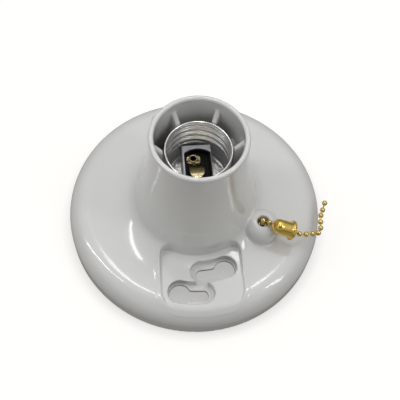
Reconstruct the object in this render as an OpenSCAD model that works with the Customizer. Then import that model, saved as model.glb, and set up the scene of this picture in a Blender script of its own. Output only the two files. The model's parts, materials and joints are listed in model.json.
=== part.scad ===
// Pull-chain ceiling lampholder: moulded canopy, medium screw socket, ratchet switch and bead chain.
// Origin at the centre of the mounting face, +Z along the socket axis away from the ceiling.

/* [Canopy] */
// Outside diameter of the round base
base_d = 114.3; // [112:0.1:118]
// Height from the mounting face to the top of the neck
total_h = 66; // [65:0.5:68]
// Outside radius of the neck at its rim
rim_r = 20; // [19.8:0.1:20.5]
// Inside radius of the neck at its rim
bore_r = 17.85; // [17.6:0.05:18]
// Wall thickness of the moulding
wall = 2.4; // [2:0.1:2.6]
// Height of the crest of the rounded shoulder
crest_z = 14.5; // [14.3:0.1:15]
// Radius of the rounded shoulder
shoulder_r = 8.5; // [8:0.1:9]

/* [Keyhole pads] */
// Height of the flat screw pad
pad_z = 14; // [13.8:0.1:14.2]
// Width of the screw pad
pad_w = 35.2; // [34:0.2:36]
// Radius of the wall between the pad and the neck
pad_wall_r = 27.3; // [27:0.1:27.8]
// Spacing of the outer pair of screw seats
seat_outer = 88.9; // [88:0.1:90]
// Spacing of the inner pair of screw seats
seat_inner = 69.85; // [69:0.05:70.5]
// Width of the keyhole slot
slot_w = 4.6; // [4.4:0.1:4.8]
// Radius of the hole that a screw head passes through
head_hole_r = 4.6; // [4.4:0.1:4.8]

/* [Socket] */
// Minor radius of the lamp thread in the screw shell
thread_minor_r = 12.45; // [12.4:0.01:12.5]
// Major radius of the lamp thread in the screw shell
thread_major_r = 13.3; // [13.2:0.01:13.35]
// Lead of the lamp thread
thread_pitch = 3.629; // [3.6:0.001:3.65]
// Sheet thickness of the screw shell
shell_t = 0.5; // [0.4:0.05:0.5]
// Height of the top bead of the screw shell
shell_top = 56.7; // [56.5:0.1:57]
// Height of the shell floor
shell_floor = 34.7; // [34.7:0.1:34.8]

/* [Pull chain] */
// Direction of the chain boss, seen from below the ceiling
boss_az = -32; // [-34:1:-30]
// Distance of the chain hole from the socket axis
boss_u = 32.7; // [32.5:0.1:32.9]
// Height of the top of the chain boss
boss_top = 24; // [23.8:0.1:24.2]
// Diameter of a chain bead
bead_d = 2.4; // [2.3:0.05:2.4]
// Pitch of the bead chain
bead_pitch = 3.25; // [3.2:0.01:3.25]
// Travel of the chain from rest to the click of the switch
pull_travel = 8.65; // [8.6:0.01:8.7]

/* [Hidden] */
$fn = 64;

base_r = base_d / 2;
fit = 0.05;
eps = 0.01;

// Canopy profile: the shoulder is an arc, the flare a Bezier curve, the neck a parabola
shoulder_z = crest_z - shoulder_r;
flare_top = 21.5;
neck_foot_r = 27.2;
cavity_foot_r = 24.8;
rim_round = (rim_r - bore_r) / 2;
rim_z = total_h - rim_round;

// Keyhole pads; a keyhole is [radius of its arc, seat azimuth, head hole azimuth] about the slot
pad_corner = 6;
pad_edge_r = 52.5;
pad_floor = 2.2;
cup_wall = 1.8;
cup_depth = 4;
ledge = 1.8;
counter_r = 5;
head_pocket_r = 5;
key_outer = [seat_outer / 2, 0, -12.9];
key_inner = [seat_inner / 2, 0, 17];

// Neck ribs, and the posts that take the fixing screws: [radius, azimuth]
rib_t = 2.4;
rib_in = thread_major_r + shell_t + 0.45;
rib_low = 34.6;
carrier_fix = [17.3, 30];
plate_fix = [21, 104];
post_r = 2.8;
pilot_r = 1.35;

// Socket insert
carrier_z = 30.5;
carrier_h = 4;
carrier_r = 20.3;
tower = [12.2, 21.6];
tower_x = 0.2;
tower_top = 43;
recess_x = 0.45;
recess_half = 5.6;
recess_r = 9;
recess_mid = 0.2;
insul_z = 38.8;
insul_floor = 40.2;
insul_top = 42.6;
insul_wall = 0.7;
rivet_xy = [9.7, -0.5];
plate_t = 0.5;
contact_x = -1.3;
plate_size = [6, 4.3];
plate_y = 5.4;
plate_corner = 1;
tongue_x = -0.3;
tongue_w = 6.2;
tongue_root = plate_y - plate_size[1] / 2 - 0.25;
eyelet_r = 1.6;

// Switch, in a frame turned to the boss: u outward, v sideways, w up
pivot_u = 21.8;
swing = 45;
arm_r = pull_travel / (2 * sin(swing / 2));
hook_drop = 2.15;
hole_bead_z = boss_top + 0.2;
end_bead_z = hole_bead_z - 6 * bead_pitch;
pivot_z = end_bead_z + hook_drop + arm_r * sin(swing / 2);
axle_r = 1;
ratchet_r = 4.4;
drum_r = 4.2;
case_lo = [12.6, -6, 3];
case_hi = [29.2, 8, 13.2];
case_wall = 1.2;
dome_r = 7;
case_rivet_r = 0.6;
cover_v = case_lo[1] + case_wall;
strip_t = 0.5;
spring_u = 15.9;
spring_r = 1.5;
spring_wire = 0.4;
spring_lo = 4.4;
spring_hi = 10.9;
ear_t = 2;
ears = [[14, 10.9], [9.9, -2.5]];
ear_half = 2.8;
ratchet_v = [1.2, 3.2];
drum_v = [3.4, 6.6];
line_u = pivot_u - drum_r - 0.4 - 0.15 - strip_t / 2;
load_w = pivot_z - drum_r - 0.4 - 0.15 - strip_t / 2;
strip_v = [3.7, 6.3];
plate_lo = 3;
plate_hi = 4.2;
lead_r = 0.9;
terminal_reach = 5;
neutral_at = [-rivet_xy[0], rivet_xy[1]];
line_at = [3, 13.5];
tab_v = 5;

// Chain: yaw and pitch of each link of the loose tail, from the bell outward
bead_r = bead_d / 2;
bead_shell = 0.3;
wire_r = 0.3;
ball_r = 0.6;
mouth_r = 0.95;
slot_half = 0.42;
hole_r = 2.4;
first_yaw = -36;
first_pitch = 22;
link_yaw = -68;
link_pitch = 42;
link_len = 3.06;
bell_gap = 0.5;
bell_yaw = -8;
bell_pitch = -25;
bell_len = 8.9;
bell_r = 3.4;
bell_flare_r = 4.3;
coupling_set = 1.3;
tail_yaw = [0, -11, 1, 7, 17, 58, 79, 79, 64, 68];
tail_pitch = [-49, -25, -17, -14, -22, -15, -8, 1, -9, 28];

function arc(c, r, a0, a1, n) =
  [for (i = [0:n]) c + r * [cos(a0 + (a1 - a0) * i / n), sin(a0 + (a1 - a0) * i / n)]];
function bezier(a, b, c, d, n) =
  [for (i = [0:n]) let (t = i / n, s = 1 - t)
    s * s * s * a + 3 * s * s * t * b + 3 * s * t * t * c + t * t * t * d];
function neck_curve(top_r, foot_r, n) =
  [for (i = [1:n]) let (t = 1 - i / n)
    [top_r + (foot_r - top_r) * t * t, rim_z - (rim_z - flare_top) * t]];
function reversed(list) = [for (i = [len(list) - 1:-1:0]) list[i]];
function heading(yaw, pitch) = [cos(pitch) * cos(yaw), cos(pitch) * sin(yaw), sin(pitch)];
function polar(r, a) = [r * cos(a), r * sin(a)];
function total(list, n) = n < 0 ? [0, 0, 0] : list[n] + total(list, n - 1);

outer_curve = concat([[base_r, 0]],
  arc([base_r - shoulder_r, shoulder_z], shoulder_r, 0, 90, 10),
  bezier([base_r - shoulder_r, crest_z], [42, crest_z - 0.45], [28.9, 16.2],
    [neck_foot_r, flare_top], 14),
  neck_curve(rim_r, neck_foot_r, 12));
inner_curve = concat([[base_r - wall, 0]],
  arc([base_r - shoulder_r, shoulder_z], shoulder_r - wall, 0, 90, 8),
  bezier([base_r - shoulder_r, crest_z - wall], [41, crest_z - wall - 0.35], [26.8, 15],
    [cavity_foot_r, flare_top], 12),
  neck_curve(bore_r, cavity_foot_r, 10));
rim_curve = arc([(rim_r + bore_r) / 2, rim_z], rim_round, 15, 165, 8);

boss_at = polar(boss_u, boss_az);
hole_bead = [boss_at[0], boss_at[1], hole_bead_z];
bead_one = hole_bead + bead_pitch * heading(first_yaw, first_pitch);
bell_axis = heading(bell_yaw, bell_pitch);
bell_hook = bead_one + link_len * heading(link_yaw, link_pitch);
bell_start = bell_hook + bell_gap * bell_axis;
coupling_bead = bell_start + (bell_len - coupling_set) * bell_axis;
tail_steps = [for (i = [0:9]) bead_pitch * heading(tail_yaw[i], tail_pitch[i])];
function tail_at(i) = i < 0 ? coupling_bead : coupling_bead + total(tail_steps, i);

// ---------- shared shapes ----------

// A rod between two points
module rod(a, b, r) {
  d = b - a;
  translate(a)
    rotate([0, acos(d[2] / norm(d)), atan2(d[1], d[0])])
      cylinder(h = norm(d), r = r, $fn = 32);
}

// A wire through a list of points, with a slightly fuller ball at each corner
module wire(points, r) {
  for (i = [1:len(points) - 1]) rod(points[i - 1], points[i], r);
  for (i = [1:len(points) - 2]) translate(points[i]) sphere(r = r + fit, $fn = 32);
}

// Slot along a circle of radius r from angle a0 to a1, in the plane
module arc_slot(r, a0, a1, half) {
  lo = min(a0, a1);
  hi = max(a0, a1);
  far = 1.3 * r;
  intersection() {
    difference() {
      circle(r = r + half);
      circle(r = r - half);
    }
    polygon([[0, 0], polar(far, lo), polar(far, (lo + hi) / 2), polar(far, hi)]);
  }
  translate(polar(r, a0)) circle(r = half);
  translate(polar(r, a1)) circle(r = half);
}

// Outline of the screw pad, grown by g
module pad_outline(g) {
  half = pad_w / 2 - pad_corner;
  far = pad_edge_r - pad_corner;
  near = pad_wall_r + pad_corner;
  far_y = -sqrt(far * far - half * half);
  near_y = -sqrt(near * near - half * half);
  far_a = atan2(far_y, half);
  near_a = atan2(near_y, half);
  polygon(concat(
    arc([0, 0], pad_edge_r + g, -180 - far_a, far_a, 10),
    arc([half, far_y], pad_corner + g, far_a, 0, 6),
    arc([half, near_y], pad_corner + g, 0, 180 + near_a, 6),
    arc([0, 0], pad_wall_r - g, near_a, -180 - near_a, 8),
    arc([-half, near_y], pad_corner + g, -near_a, 180, 6),
    arc([-half, far_y], pad_corner + g, 180, 180 - far_a, 6)));
}

// Plan of one keyhole: slot half width s and head circle radius h; key = [radius, seat, head]
module keyhole_plan(key, s, h) {
  arc_slot(key[0], -90 + key[1], -90 + key[2], s);
  translate(polar(key[0], -90 + key[2])) circle(r = h);
}

// Frame of the switch, turned to the chain boss
module at_boss() {
  rotate([0, 0, boss_az]) children();
}

// A shape drawn in the (u, w) plane around the switch pivot, from v0 to v1
module on_axle(v0, v1) {
  at_boss()
    translate([pivot_u, v1, pivot_z])
      rotate([90, 0, 0]) linear_extrude(v1 - v0) children();
}

module box(lo, hi) {
  translate(lo) cube(hi - lo);
}

// Pan-head screw pointing up, head below z
module screw_up(head_r, head_h, shank_r, length) {
  translate([0, 0, -head_h]) difference() {
    cylinder(h = head_h, r = head_r);
    translate([-0.4, -head_r, -eps]) cube([0.8, 2 * head_r, 0.7]);
    translate([-head_r, -0.4, -eps]) cube([2 * head_r, 0.8, 0.7]);
  }
  cylinder(h = length, r = shank_r);
}

// ---------- canopy ----------

module canopy_solid() {
  rotate_extrude($fn = 128) polygon(concat([[0, 0]], outer_curve, [[0, rim_z]]));
}

module canopy_skin() {
  rotate_extrude($fn = 128)
    polygon(concat(outer_curve, rim_curve, reversed(inner_curve)));
}

// Floor, neck wall and keyhole cups of one pad
module pad_block() {
  intersection() {
    canopy_solid();
    translate([0, 0, pad_z - pad_floor]) linear_extrude(flare_top) pad_outline(wall);
  }
  translate([0, 0, pad_z - cup_depth - ledge]) linear_extrude(cup_depth) {
    keyhole_plan(key_outer, counter_r + cup_wall, head_pocket_r + cup_wall);
    keyhole_plan(key_inner, counter_r + cup_wall, head_pocket_r + cup_wall);
  }
}

module pad_cut() {
  translate([0, 0, pad_z]) linear_extrude(total_h) pad_outline(0);
  translate([0, 0, pad_z - cup_depth]) linear_extrude(cup_depth + 1) {
    keyhole_plan(key_outer, counter_r, head_pocket_r);
    keyhole_plan(key_inner, counter_r, head_pocket_r);
  }
  translate([0, 0, -1]) linear_extrude(pad_z) {
    keyhole_plan(key_outer, slot_w / 2, head_hole_r);
    keyhole_plan(key_inner, slot_w / 2, head_hole_r);
  }
}

module boss_body() {
  foot = 7.7;
  top = 7.3;
  edge = 4;
  lip = 0.9;
  foot_z = 9;
  web_z = 15;
  difference() {
    translate(boss_at) rotate_extrude()
      polygon(concat([[0, foot_z], [foot, foot_z]],
        arc([top - edge, boss_top - edge], edge, 0, 90, 8),
        arc([hole_r + lip, boss_top - lip], lip, 90, 180, 6),
        [[hole_r, web_z], [0, web_z]]));
    rotate_extrude($fn = 128)
      polygon(concat([[0, 0]], [for (p = inner_curve) p + [0.8, 0.8]], [[0, rim_z + 0.8]]));
  }
}

module neck_rib() {
  tip_z = 61;
  rotate([90, 0, 0]) translate([0, 0, -rib_t / 2]) linear_extrude(rib_t)
    polygon([[rib_in, rib_low], [bore_r + 2.5, rib_low], [bore_r + 0.8, tip_z + 0.2],
      [bore_r - 0.6, tip_z], [rib_in, shell_top]]);
}

module fixing_post(at, low, high) {
  translate([at[0], at[1], low]) cylinder(h = high - low, r = post_r);
}

module canopy() {
  boss_hollow = 5.2;
  boss_roof = boss_top - 3.2;
  carrier_post = carrier_z + carrier_h + 0.1;
  carrier_post_top = 46;
  plate_post_top = 28;
  pilot_depth = 8;
  color("white") difference() {
    union() {
      canopy_skin();
      for (a = [0, 180]) rotate([0, 0, a]) pad_block();
      boss_body();
      for (a = [0:60:300]) rotate([0, 0, a]) neck_rib();
      intersection() {
        canopy_solid();
        for (a = [0, 180]) {
          fixing_post(polar(carrier_fix[0], carrier_fix[1] + a), carrier_post, carrier_post_top);
          fixing_post(polar(plate_fix[0], plate_fix[1] + a), plate_hi + 0.1, plate_post_top);
        }
      }
    }
    for (a = [0, 180]) rotate([0, 0, a]) pad_cut();
    translate([boss_at[0], boss_at[1], -1]) cylinder(h = boss_roof + 1, r = boss_hollow);
    translate([boss_at[0], boss_at[1], 0]) cylinder(h = total_h / 2, r = hole_r);
    for (a = [0, 180]) {
      translate(concat(polar(carrier_fix[0], carrier_fix[1] + a), [carrier_post - 1]))
        cylinder(h = pilot_depth + 1, r = pilot_r);
      translate(concat(polar(plate_fix[0], plate_fix[1] + a), [plate_hi]))
        cylinder(h = pilot_depth + 1, r = pilot_r);
    }
  }
}

// ---------- socket ----------

// One turn of the shell wall below height z, as [radius of the inner face, height] points
function shell_turn(z, minor) =
  [[minor, z], [minor, z - 1.1], [thread_major_r, z - 1.75], [thread_major_r, z - 2.95]];

module tower_plan(gap) {
  translate([tower_x - tower[0] / 2 - gap, -tower[1] / 2 - gap])
    square([tower[0] + 2 * gap, tower[1] + 2 * gap]);
}

module recess_plan(inset) {
  intersection() {
    translate([recess_x - recess_half + inset, -tower[1]])
      square([2 * (recess_half - inset), 2 * tower[1]]);
    union() {
      translate([recess_x, recess_mid]) circle(r = recess_r - inset);
      translate([recess_x, -recess_mid]) circle(r = recess_r - inset);
      square([tower[0], 2 * recess_mid], center = true);
    }
  }
}

module rivet_places() {
  for (side = [-1, 1]) translate([side * rivet_xy[0], rivet_xy[1], 0]) children();
}

module screw_shell() {
  first = 55.4;
  clear_turns = 3;
  turns = 5;
  low_minor = thread_minor_r + 0.4;
  lip = [[thread_major_r + 0.3, shell_top], [thread_minor_r + 0.4, shell_top - 0.6]];
  rings = [for (k = [0:turns - 1])
    each shell_turn(first - k * thread_pitch, k < clear_turns ? thread_minor_r : low_minor)];
  inside = concat(lip, rings, [[low_minor, shell_floor + 1]]);
  color("silver") difference() {
    union() {
      rotate_extrude($fn = 96) polygon(concat(inside,
        [[low_minor, shell_floor], [low_minor + shell_t, shell_floor]],
        reversed([for (p = inside) [p[0] + shell_t, p[1]]])));
      translate([0, 0, shell_floor]) cylinder(h = shell_t, r = low_minor + shell_t / 2);
    }
    translate([0, 0, shell_floor - 1]) linear_extrude(3) tower_plan(0.15);
    rivet_places() translate([0, 0, shell_floor - 1]) cylinder(h = 3, r = 1 + fit);
  }
}

module socket_carrier() {
  top = carrier_z + carrier_h;
  color("gainsboro") difference() {
    union() {
      translate([0, 0, carrier_z]) cylinder(h = carrier_h, r = carrier_r, $fn = 96);
      translate([0, 0, carrier_z]) linear_extrude(tower_top - carrier_z) tower_plan(0);
      at_boss() for (e = ears) fixing_post(e, case_hi[2] + 0.1, carrier_z + 1);
    }
    at_boss() for (e = ears) translate([e[0], e[1], case_hi[2]]) cylinder(h = 9, r = pilot_r);
    translate([0, 0, insul_z]) linear_extrude(tower_top) recess_plan(0);
    rivet_places() translate([0, 0, carrier_z - 1]) cylinder(h = top, r = 1 + fit);
    translate([contact_x, plate_y, carrier_z - 1]) cylinder(h = top, r = eyelet_r + fit);
    for (a = [0, 180]) translate(concat(polar(carrier_fix[0], carrier_fix[1] + a), [carrier_z - 1]))
      cylinder(h = top, r = pilot_r + 0.25);
  }
}

module shell_rivets() {
  head_r = 1.8;
  color("silver") rivet_places() {
    translate([0, 0, carrier_z - 0.5]) cylinder(h = 0.5, r = head_r);
    translate([0, 0, carrier_z - 0.5]) cylinder(h = shell_floor + shell_t - carrier_z + 0.5, r = 1);
    translate([0, 0, shell_floor + shell_t]) cylinder(h = 0.7, r = head_r);
  }
}

module contact_insulator() {
  color("black") difference() {
    translate([0, 0, insul_z]) linear_extrude(insul_top - insul_z) recess_plan(fit);
    translate([0, 0, insul_floor]) linear_extrude(tower_top) recess_plan(insul_wall);
    translate([contact_x, plate_y, insul_z - 1]) cylinder(h = 4, r = eyelet_r + fit);
  }
}

module contact_plate() {
  corner = plate_corner;
  w = plate_size[0] / 2;
  d = plate_size[1] / 2;
  color("goldenrod") translate([contact_x, plate_y, insul_floor]) {
    difference() {
      linear_extrude(plate_t) polygon([[-w, -d], [w, -d], [w, d - corner], [w - corner, d],
        [corner - w, d], [-w, d - corner]]);
      translate([0, 0, -1]) cylinder(h = 3, r = eyelet_r + fit);
    }
    for (x = [-1, 1]) for (y = [-1, 1])
      translate([x * (w - 0.85), y * (d - 0.85), plate_t]) sphere(r = 0.45, $fn = 24);
  }
}

// Spring tongue: rises from the plate to a crown over the socket axis, then turns down
module contact_tongue() {
  low = insul_floor + 0.1;
  reach = 8.2;
  rise = 2.8;
  top_side = [for (i = [0:12]) let (t = i / 12)
    [tongue_root - reach * t, low + plate_t + rise * sin(115 * pow(t, 1.15))]];
  under = [for (p = reversed(top_side)) [p[0] + 0.05, p[1] - plate_t]];
  color("goldenrod") intersection() {
    translate([tongue_x + tongue_w / 2, 0, 0]) rotate([90, 0, -90])
      linear_extrude(tongue_w) mirror([1, 0]) polygon(concat(top_side, under));
    union() {
      translate([tongue_x, tongue_root - reach + tongue_w / 2, 0])
        cylinder(h = total_h, r = tongue_w / 2 + 0.2);
      translate([tongue_x - tongue_w / 2, tongue_root - reach + tongue_w / 2, 0])
        cube([tongue_w, reach, total_h]);
    }
  }
}

module contact_eyelet() {
  flange = 1.9;
  bottom = carrier_z - 0.5;
  top = insul_floor + plate_t;
  color("goldenrod") translate([contact_x, plate_y, 0]) difference() {
    union() {
      translate([0, 0, bottom]) cylinder(h = top - bottom, r = eyelet_r);
      translate([0, 0, bottom]) cylinder(h = 0.5, r = flange + 0.2);
      translate([0, 0, top]) cylinder(h = 0.3, r = flange);
      translate([0, 0, top + 0.3]) rotate_extrude() translate([flange - 0.3, 0]) circle(r = 0.3);
    }
    translate([0, 0, bottom - 1]) cylinder(h = top, r = eyelet_r - 0.3);
  }
}

module carrier_screws() {
  color("silver") for (a = [0, 180])
    translate(concat(polar(carrier_fix[0], carrier_fix[1] + a), [carrier_z]))
      screw_up(2.7, 1.8, pilot_r - fit, carrier_h + 8);
}

// ---------- switch ----------

module case_plan(inset) {
  lo = [case_lo[0] - pivot_u + inset, case_lo[2] - pivot_z + inset];
  hi = [case_hi[0] - pivot_u - inset, case_hi[2] - pivot_z - inset];
  translate(lo) square(hi - lo);
  circle(r = dome_r - inset);
}

module case_rivet_places() {
  for (p = [[pivot_u, pivot_z + dome_r - 1.2], [case_hi[0] - 1.2, case_lo[2] + 1.2]]) at_boss()
    translate([p[0], case_hi[1], p[1]]) rotate([90, 0, 0]) children();
}

module switch_housing() {
  lever_gap = 1.4;
  tab = strip_t / 2 + 0.1;
  color("dimgray") difference() {
    union() {
      difference() {
        on_axle(cover_v, case_hi[1]) case_plan(0);
        on_axle(cover_v - 1, case_hi[1] - case_wall) case_plan(case_wall);
      }
      case_rivet_places() cylinder(h = case_hi[1] - cover_v, r = 1.15);
      at_boss() {
        box([ears[0][0] - ear_half, case_hi[1] - 0.5, case_hi[2] - ear_t],
          [ears[0][0] + ear_half, ears[0][1] + ear_half, case_hi[2]]);
        box([ears[1][0] - ear_half, cover_v, case_hi[2] - ear_t],
          [case_lo[0] + 0.5, ears[1][1] + ear_half, case_hi[2]]);
      }
    }
    on_axle(cover_v - 5, case_hi[1] + 1) circle(r = axle_r + fit);
    case_rivet_places() translate([0, 0, -1]) cylinder(h = 20, r = case_rivet_r + fit);
    at_boss() {
      for (e = ears) translate([e[0], e[1], 0]) cylinder(h = total_h / 2, r = pilot_r + 0.15);
      box([pivot_u + 3.8, -lever_gap, case_lo[2] + 2.5],
        [case_hi[0] + 1, lever_gap, pivot_z + 5.5]);
      box([case_lo[0] + case_wall, -lever_gap, pivot_z], [pivot_u - 4, lever_gap, pivot_z + 5]);
      box([line_u - tab, strip_v[0] - 0.1, 12], [line_u + tab, strip_v[1] + 0.1, 20]);
      box([case_lo[0] - 1, strip_v[0] - 0.1, load_w - tab],
        [case_lo[0] + 2, strip_v[1] + 0.1, load_w + tab]);
    }
  }
}

module switch_cover() {
  color("dimgray") difference() {
    on_axle(case_lo[1], cover_v - fit) case_plan(0);
    on_axle(case_lo[1] - 1, cover_v + 1) circle(r = axle_r + fit);
    case_rivet_places() cylinder(h = 20, r = case_rivet_r + fit);
  }
}

module switch_rivets() {
  reach = case_hi[1] - case_lo[1];
  head_r = 1.1;
  color("silver") case_rivet_places() {
    translate([0, 0, -0.5]) cylinder(h = 0.5, r = head_r);
    translate([0, 0, -0.5]) cylinder(h = reach + 1, r = case_rivet_r);
    translate([0, 0, reach]) cylinder(h = 0.5, r = head_r);
  }
}

module switch_axle() {
  color("silver") on_axle(case_lo[1] - 0.3, case_hi[1] + 0.3) circle(r = axle_r);
}

// Lever in its own frame: pivot at the origin, arm toward +X, turned down by half the swing
module lever_pose(v0, v1) {
  on_axle(v0, v1) rotate(-swing / 2) children();
}

module pull_lever() {
  hub = 2.5;
  arm = 1.1;
  tail = 6.2;
  eye_in = arm_r - 1.9;
  color("silver") {
    difference() {
      union() {
        lever_pose(-1, 1) circle(r = hub);
        lever_pose(-0.8, 0.8) {
          translate([-tail, -arm]) square([tail + eye_in + 0.4, 2 * arm]);
          translate([-tail, 0]) circle(r = arm);
        }
        at_boss() translate([pivot_u, 0, pivot_z]) rotate([0, swing / 2, 0])
          translate([arm_r, 0, -0.6]) cylinder(h = 1.2, r = 2.4);
      }
      on_axle(-2, 2) circle(r = axle_r + fit);
      at_boss() translate([pivot_u, 0, pivot_z]) rotate([0, swing / 2, 0])
        translate([arm_r, 0, -1]) linear_extrude(2) {
          square([1.6, 1.5], center = true);
          for (side = [-0.8, 0.8]) translate([side, 0]) circle(r = 0.75);
        }
    }
  }
}

// Drive finger: a spring strip on the side of the lever that reaches into a ratchet tooth
module drive_pawl() {
  color("silver") {
    lever_pose(0.8, ratchet_v[1]) translate([ratchet_r + 0.25, -0.8]) square([0.8, 1.6]);
    lever_pose(ratchet_v[0] + 0.3, ratchet_v[1]) polygon([[ratchet_r + 0.3, -0.5],
      [ratchet_r + 0.3, 0], [ratchet_r - 0.45, -0.05], [ratchet_r - 0.45, -0.35]]);
  }
}

module ratchet_wheel() {
  teeth = 8;
  root = ratchet_r - 0.9;
  step = 360 / teeth;
  color("saddlebrown") on_axle(ratchet_v[0], ratchet_v[1]) difference() {
    polygon([for (i = [0:teeth - 1]) let (a = -swing / 2 - 7 + i * step)
      each [polar(root, a + 1), polar(root, a + 9), polar(ratchet_r, a + step)]]);
    circle(r = axle_r + fit);
  }
}

module contact_drum() {
  color("saddlebrown") difference() {
    on_axle(drum_v[0] - 0.15, drum_v[1]) circle(r = drum_r);
    on_axle(drum_v[0] - 1, drum_v[1] + 1) circle(r = axle_r + fit);
  }
}

// Brass bridge: a half ring that joins the two contact strips every second click
module drum_bridge() {
  color("goldenrod") on_axle(strip_v[0], strip_v[1]) intersection() {
    difference() {
      circle(r = drum_r + 0.4);
      circle(r = drum_r + 0.02);
    }
    polygon([[0, 0], [-9, 3], [-9, -9], [3, -9]]);
  }
}

// Holding pawl: a leaf from the inner end wall, bent up beside the ratchet
module hold_pawl() {
  tip = -ratchet_r - 0.15;
  wall_x = case_lo[0] + case_wall + fit - pivot_u;
  leaf = 0.3;
  color("silver") on_axle(ratchet_v[0] + 0.7, ratchet_v[1] - 0.2)
    polygon([[wall_x, -2.3], [tip, -2.3], [tip, 0.5], [tip - leaf, 0.5], [tip - leaf, -2],
      [wall_x, -2]]);
}

module line_contact() {
  color("goldenrod") at_boss() {
    box([line_u - strip_t / 2, strip_v[0], pivot_z - 2.4], [line_u + strip_t / 2, strip_v[1], 19.5]);
  }
}

module load_contact() {
  color("goldenrod") at_boss() {
    box([case_lo[0] - 3, strip_v[0], load_w - strip_t / 2],
      [pivot_u + 2, strip_v[1], load_w + strip_t / 2]);
  }
}

// Compression spring under the tail of the lever, drawn as closely stacked turns
module return_spring() {
  turns = 7;
  step = (spring_hi - spring_lo - spring_wire) / turns;
  color("silver") at_boss() translate([spring_u, 0, 0]) {
    for (k = [0:turns]) translate([0, 0, spring_lo + spring_wire / 2 + k * step])
      rotate_extrude() translate([spring_r, 0]) circle(r = spring_wire / 2);
    for (a = [0, 180]) rotate([0, 0, a]) translate([spring_r, 0, spring_lo + spring_wire / 2])
      cylinder(h = spring_hi - spring_lo - spring_wire, r = spring_wire / 4, $fn = 24);
  }
}

module switch_screws() {
  color("silver") at_boss() for (e = ears)
    translate([e[0], e[1], case_hi[2] - ear_t]) screw_up(2.5, 1.8, pilot_r - fit, ear_t + 7);
}

// ---------- back plate and wiring ----------

module back_plate() {
  disc_r = 24.8;
  gap = 0.6;
  color("tan") difference() {
    translate([0, 0, plate_lo]) cylinder(h = plate_hi - plate_lo, r = disc_r);
    at_boss() box([case_lo[0] - 4.6, case_lo[1] - 1.2, plate_lo - 1],
      [disc_r + 5, case_hi[1] + 1.2, plate_hi + 1]);
    for (a = [0, 180]) translate(concat(polar(plate_fix[0], plate_fix[1] + a), [plate_lo - 1]))
      cylinder(h = 4, r = pilot_r + 0.15);
    for (p = [neutral_at, line_at]) translate([p[0], p[1], plate_lo - 1])
      cylinder(h = 4, r = lead_r + 0.1);
    for (p = [neutral_at, line_at]) translate([p[0], p[1] + terminal_reach, plate_lo - 1])
      cylinder(h = 4, r = 1.75);
  }
}

module back_plate_screws() {
  color("silver") for (a = [0, 180])
    translate(concat(polar(plate_fix[0], plate_fix[1] + a), [plate_lo]))
      screw_up(2.7, 1.8, pilot_r - fit, plate_hi - plate_lo + 6);
}

// Terminal plate under the back plate, with a hole for its screw
module terminal(at) {
  difference() {
    translate([at[0] - 4, at[1] - 2.4, plate_lo - 0.85]) cube([8, terminal_reach + 6.4, 0.8]);
    translate([at[0], at[1] + terminal_reach, 0]) cylinder(h = plate_lo, r = 1.65);
  }
}

module terminal_screw(at) {
  translate([at[0], at[1] + terminal_reach, plate_lo - 0.85])
    screw_up(3.2, 1.7, 1.6, 4.6);
}

module neutral_terminal() {
  color("silver") terminal(neutral_at);
}

module line_terminal() {
  color("goldenrod") terminal(line_at);
}

module neutral_screw() {
  color("silver") terminal_screw(neutral_at);
}

module line_screw() {
  color("goldenrod") terminal_screw(line_at);
}

module neutral_lead() {
  color("white") wire([[neutral_at[0], neutral_at[1], plate_lo], [neutral_at[0], neutral_at[1],
    carrier_z - 0.55]], lead_r);
}

module line_lead() {
  run_z = 23;
  tab = [line_u * cos(boss_az) - tab_v * sin(boss_az), line_u * sin(boss_az) + tab_v * cos(boss_az)];
  color("black") wire([[line_at[0], line_at[1], plate_lo], [line_at[0], line_at[1], run_z],
    [tab[0], tab[1], run_z], [tab[0], tab[1], 19.55]], lead_r);
}

module switched_lead() {
  run_z = 26.5;
  tab_u = case_lo[0] - 1.7;
  tab = [tab_u * cos(boss_az) - tab_v * sin(boss_az), tab_u * sin(boss_az) + tab_v * cos(boss_az)];
  color("black") wire([[tab[0], tab[1], load_w + strip_t / 2], [tab[0], tab[1], run_z],
    [contact_x, plate_y, run_z], [contact_x, plate_y, carrier_z - 0.55]], lead_r);
}

// ---------- chain ----------

module chain_bushing() {
  tube_r = hole_r - fit;
  bore = bead_r + 0.35;
  roof = boss_top - 3.2;
  color("darkgoldenrod") translate([boss_at[0], boss_at[1], 0]) rotate_extrude()
    polygon([[bore, roof - 0.9], [tube_r + 1.2, roof - 0.9], [tube_r + 1.2, roof - 0.02],
      [tube_r, roof - 0.02], [tube_r, roof + 0.8], [bore, roof + 0.8]]);
}

// A hollow bead at the origin. The next link leaves toward +X through a round mouth, through
// a slot for swinging up and down, or through a half slot for swinging up; an end bead is closed
module hollow_bead(opening) {
  difference() {
    sphere(r = bead_r, $fn = 32);
    sphere(r = bead_r - bead_shell, $fn = 32);
    if (opening == "mouth") rotate([0, 90, 0]) cylinder(h = bead_d, r = mouth_r, $fn = 32);
    if (opening == "slot") box([-slot_half, -slot_half, -bead_d], [bead_d, slot_half, bead_d]);
    if (opening == "half slot")
      box([-slot_half, -slot_half, -slot_half / 2], [bead_d, slot_half, bead_d]);
  }
}

// Turns +X to the given heading
module face(yaw, pitch) {
  rotate([0, 0, yaw]) rotate([0, -pitch, 0]) children();
}

// A ball with a wire of the given length toward +X; the ball is turned so its seam is behind
module link(reach) {
  rotate([0, 0, 180]) sphere(r = ball_r, $fn = 24);
  rotate([0, 90, 0]) cylinder(h = reach, r = wire_r, $fn = 24);
}

// A bead with the link that reaches back into the bead before it
module linked_bead(from, to, yaw, pitch, next_yaw, next_pitch, opening) {
  translate(to) face(next_yaw, next_pitch) hollow_bead(opening);
  translate(from) face(yaw, pitch) link(bead_pitch - bead_r + bead_shell / 2);
}

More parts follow.
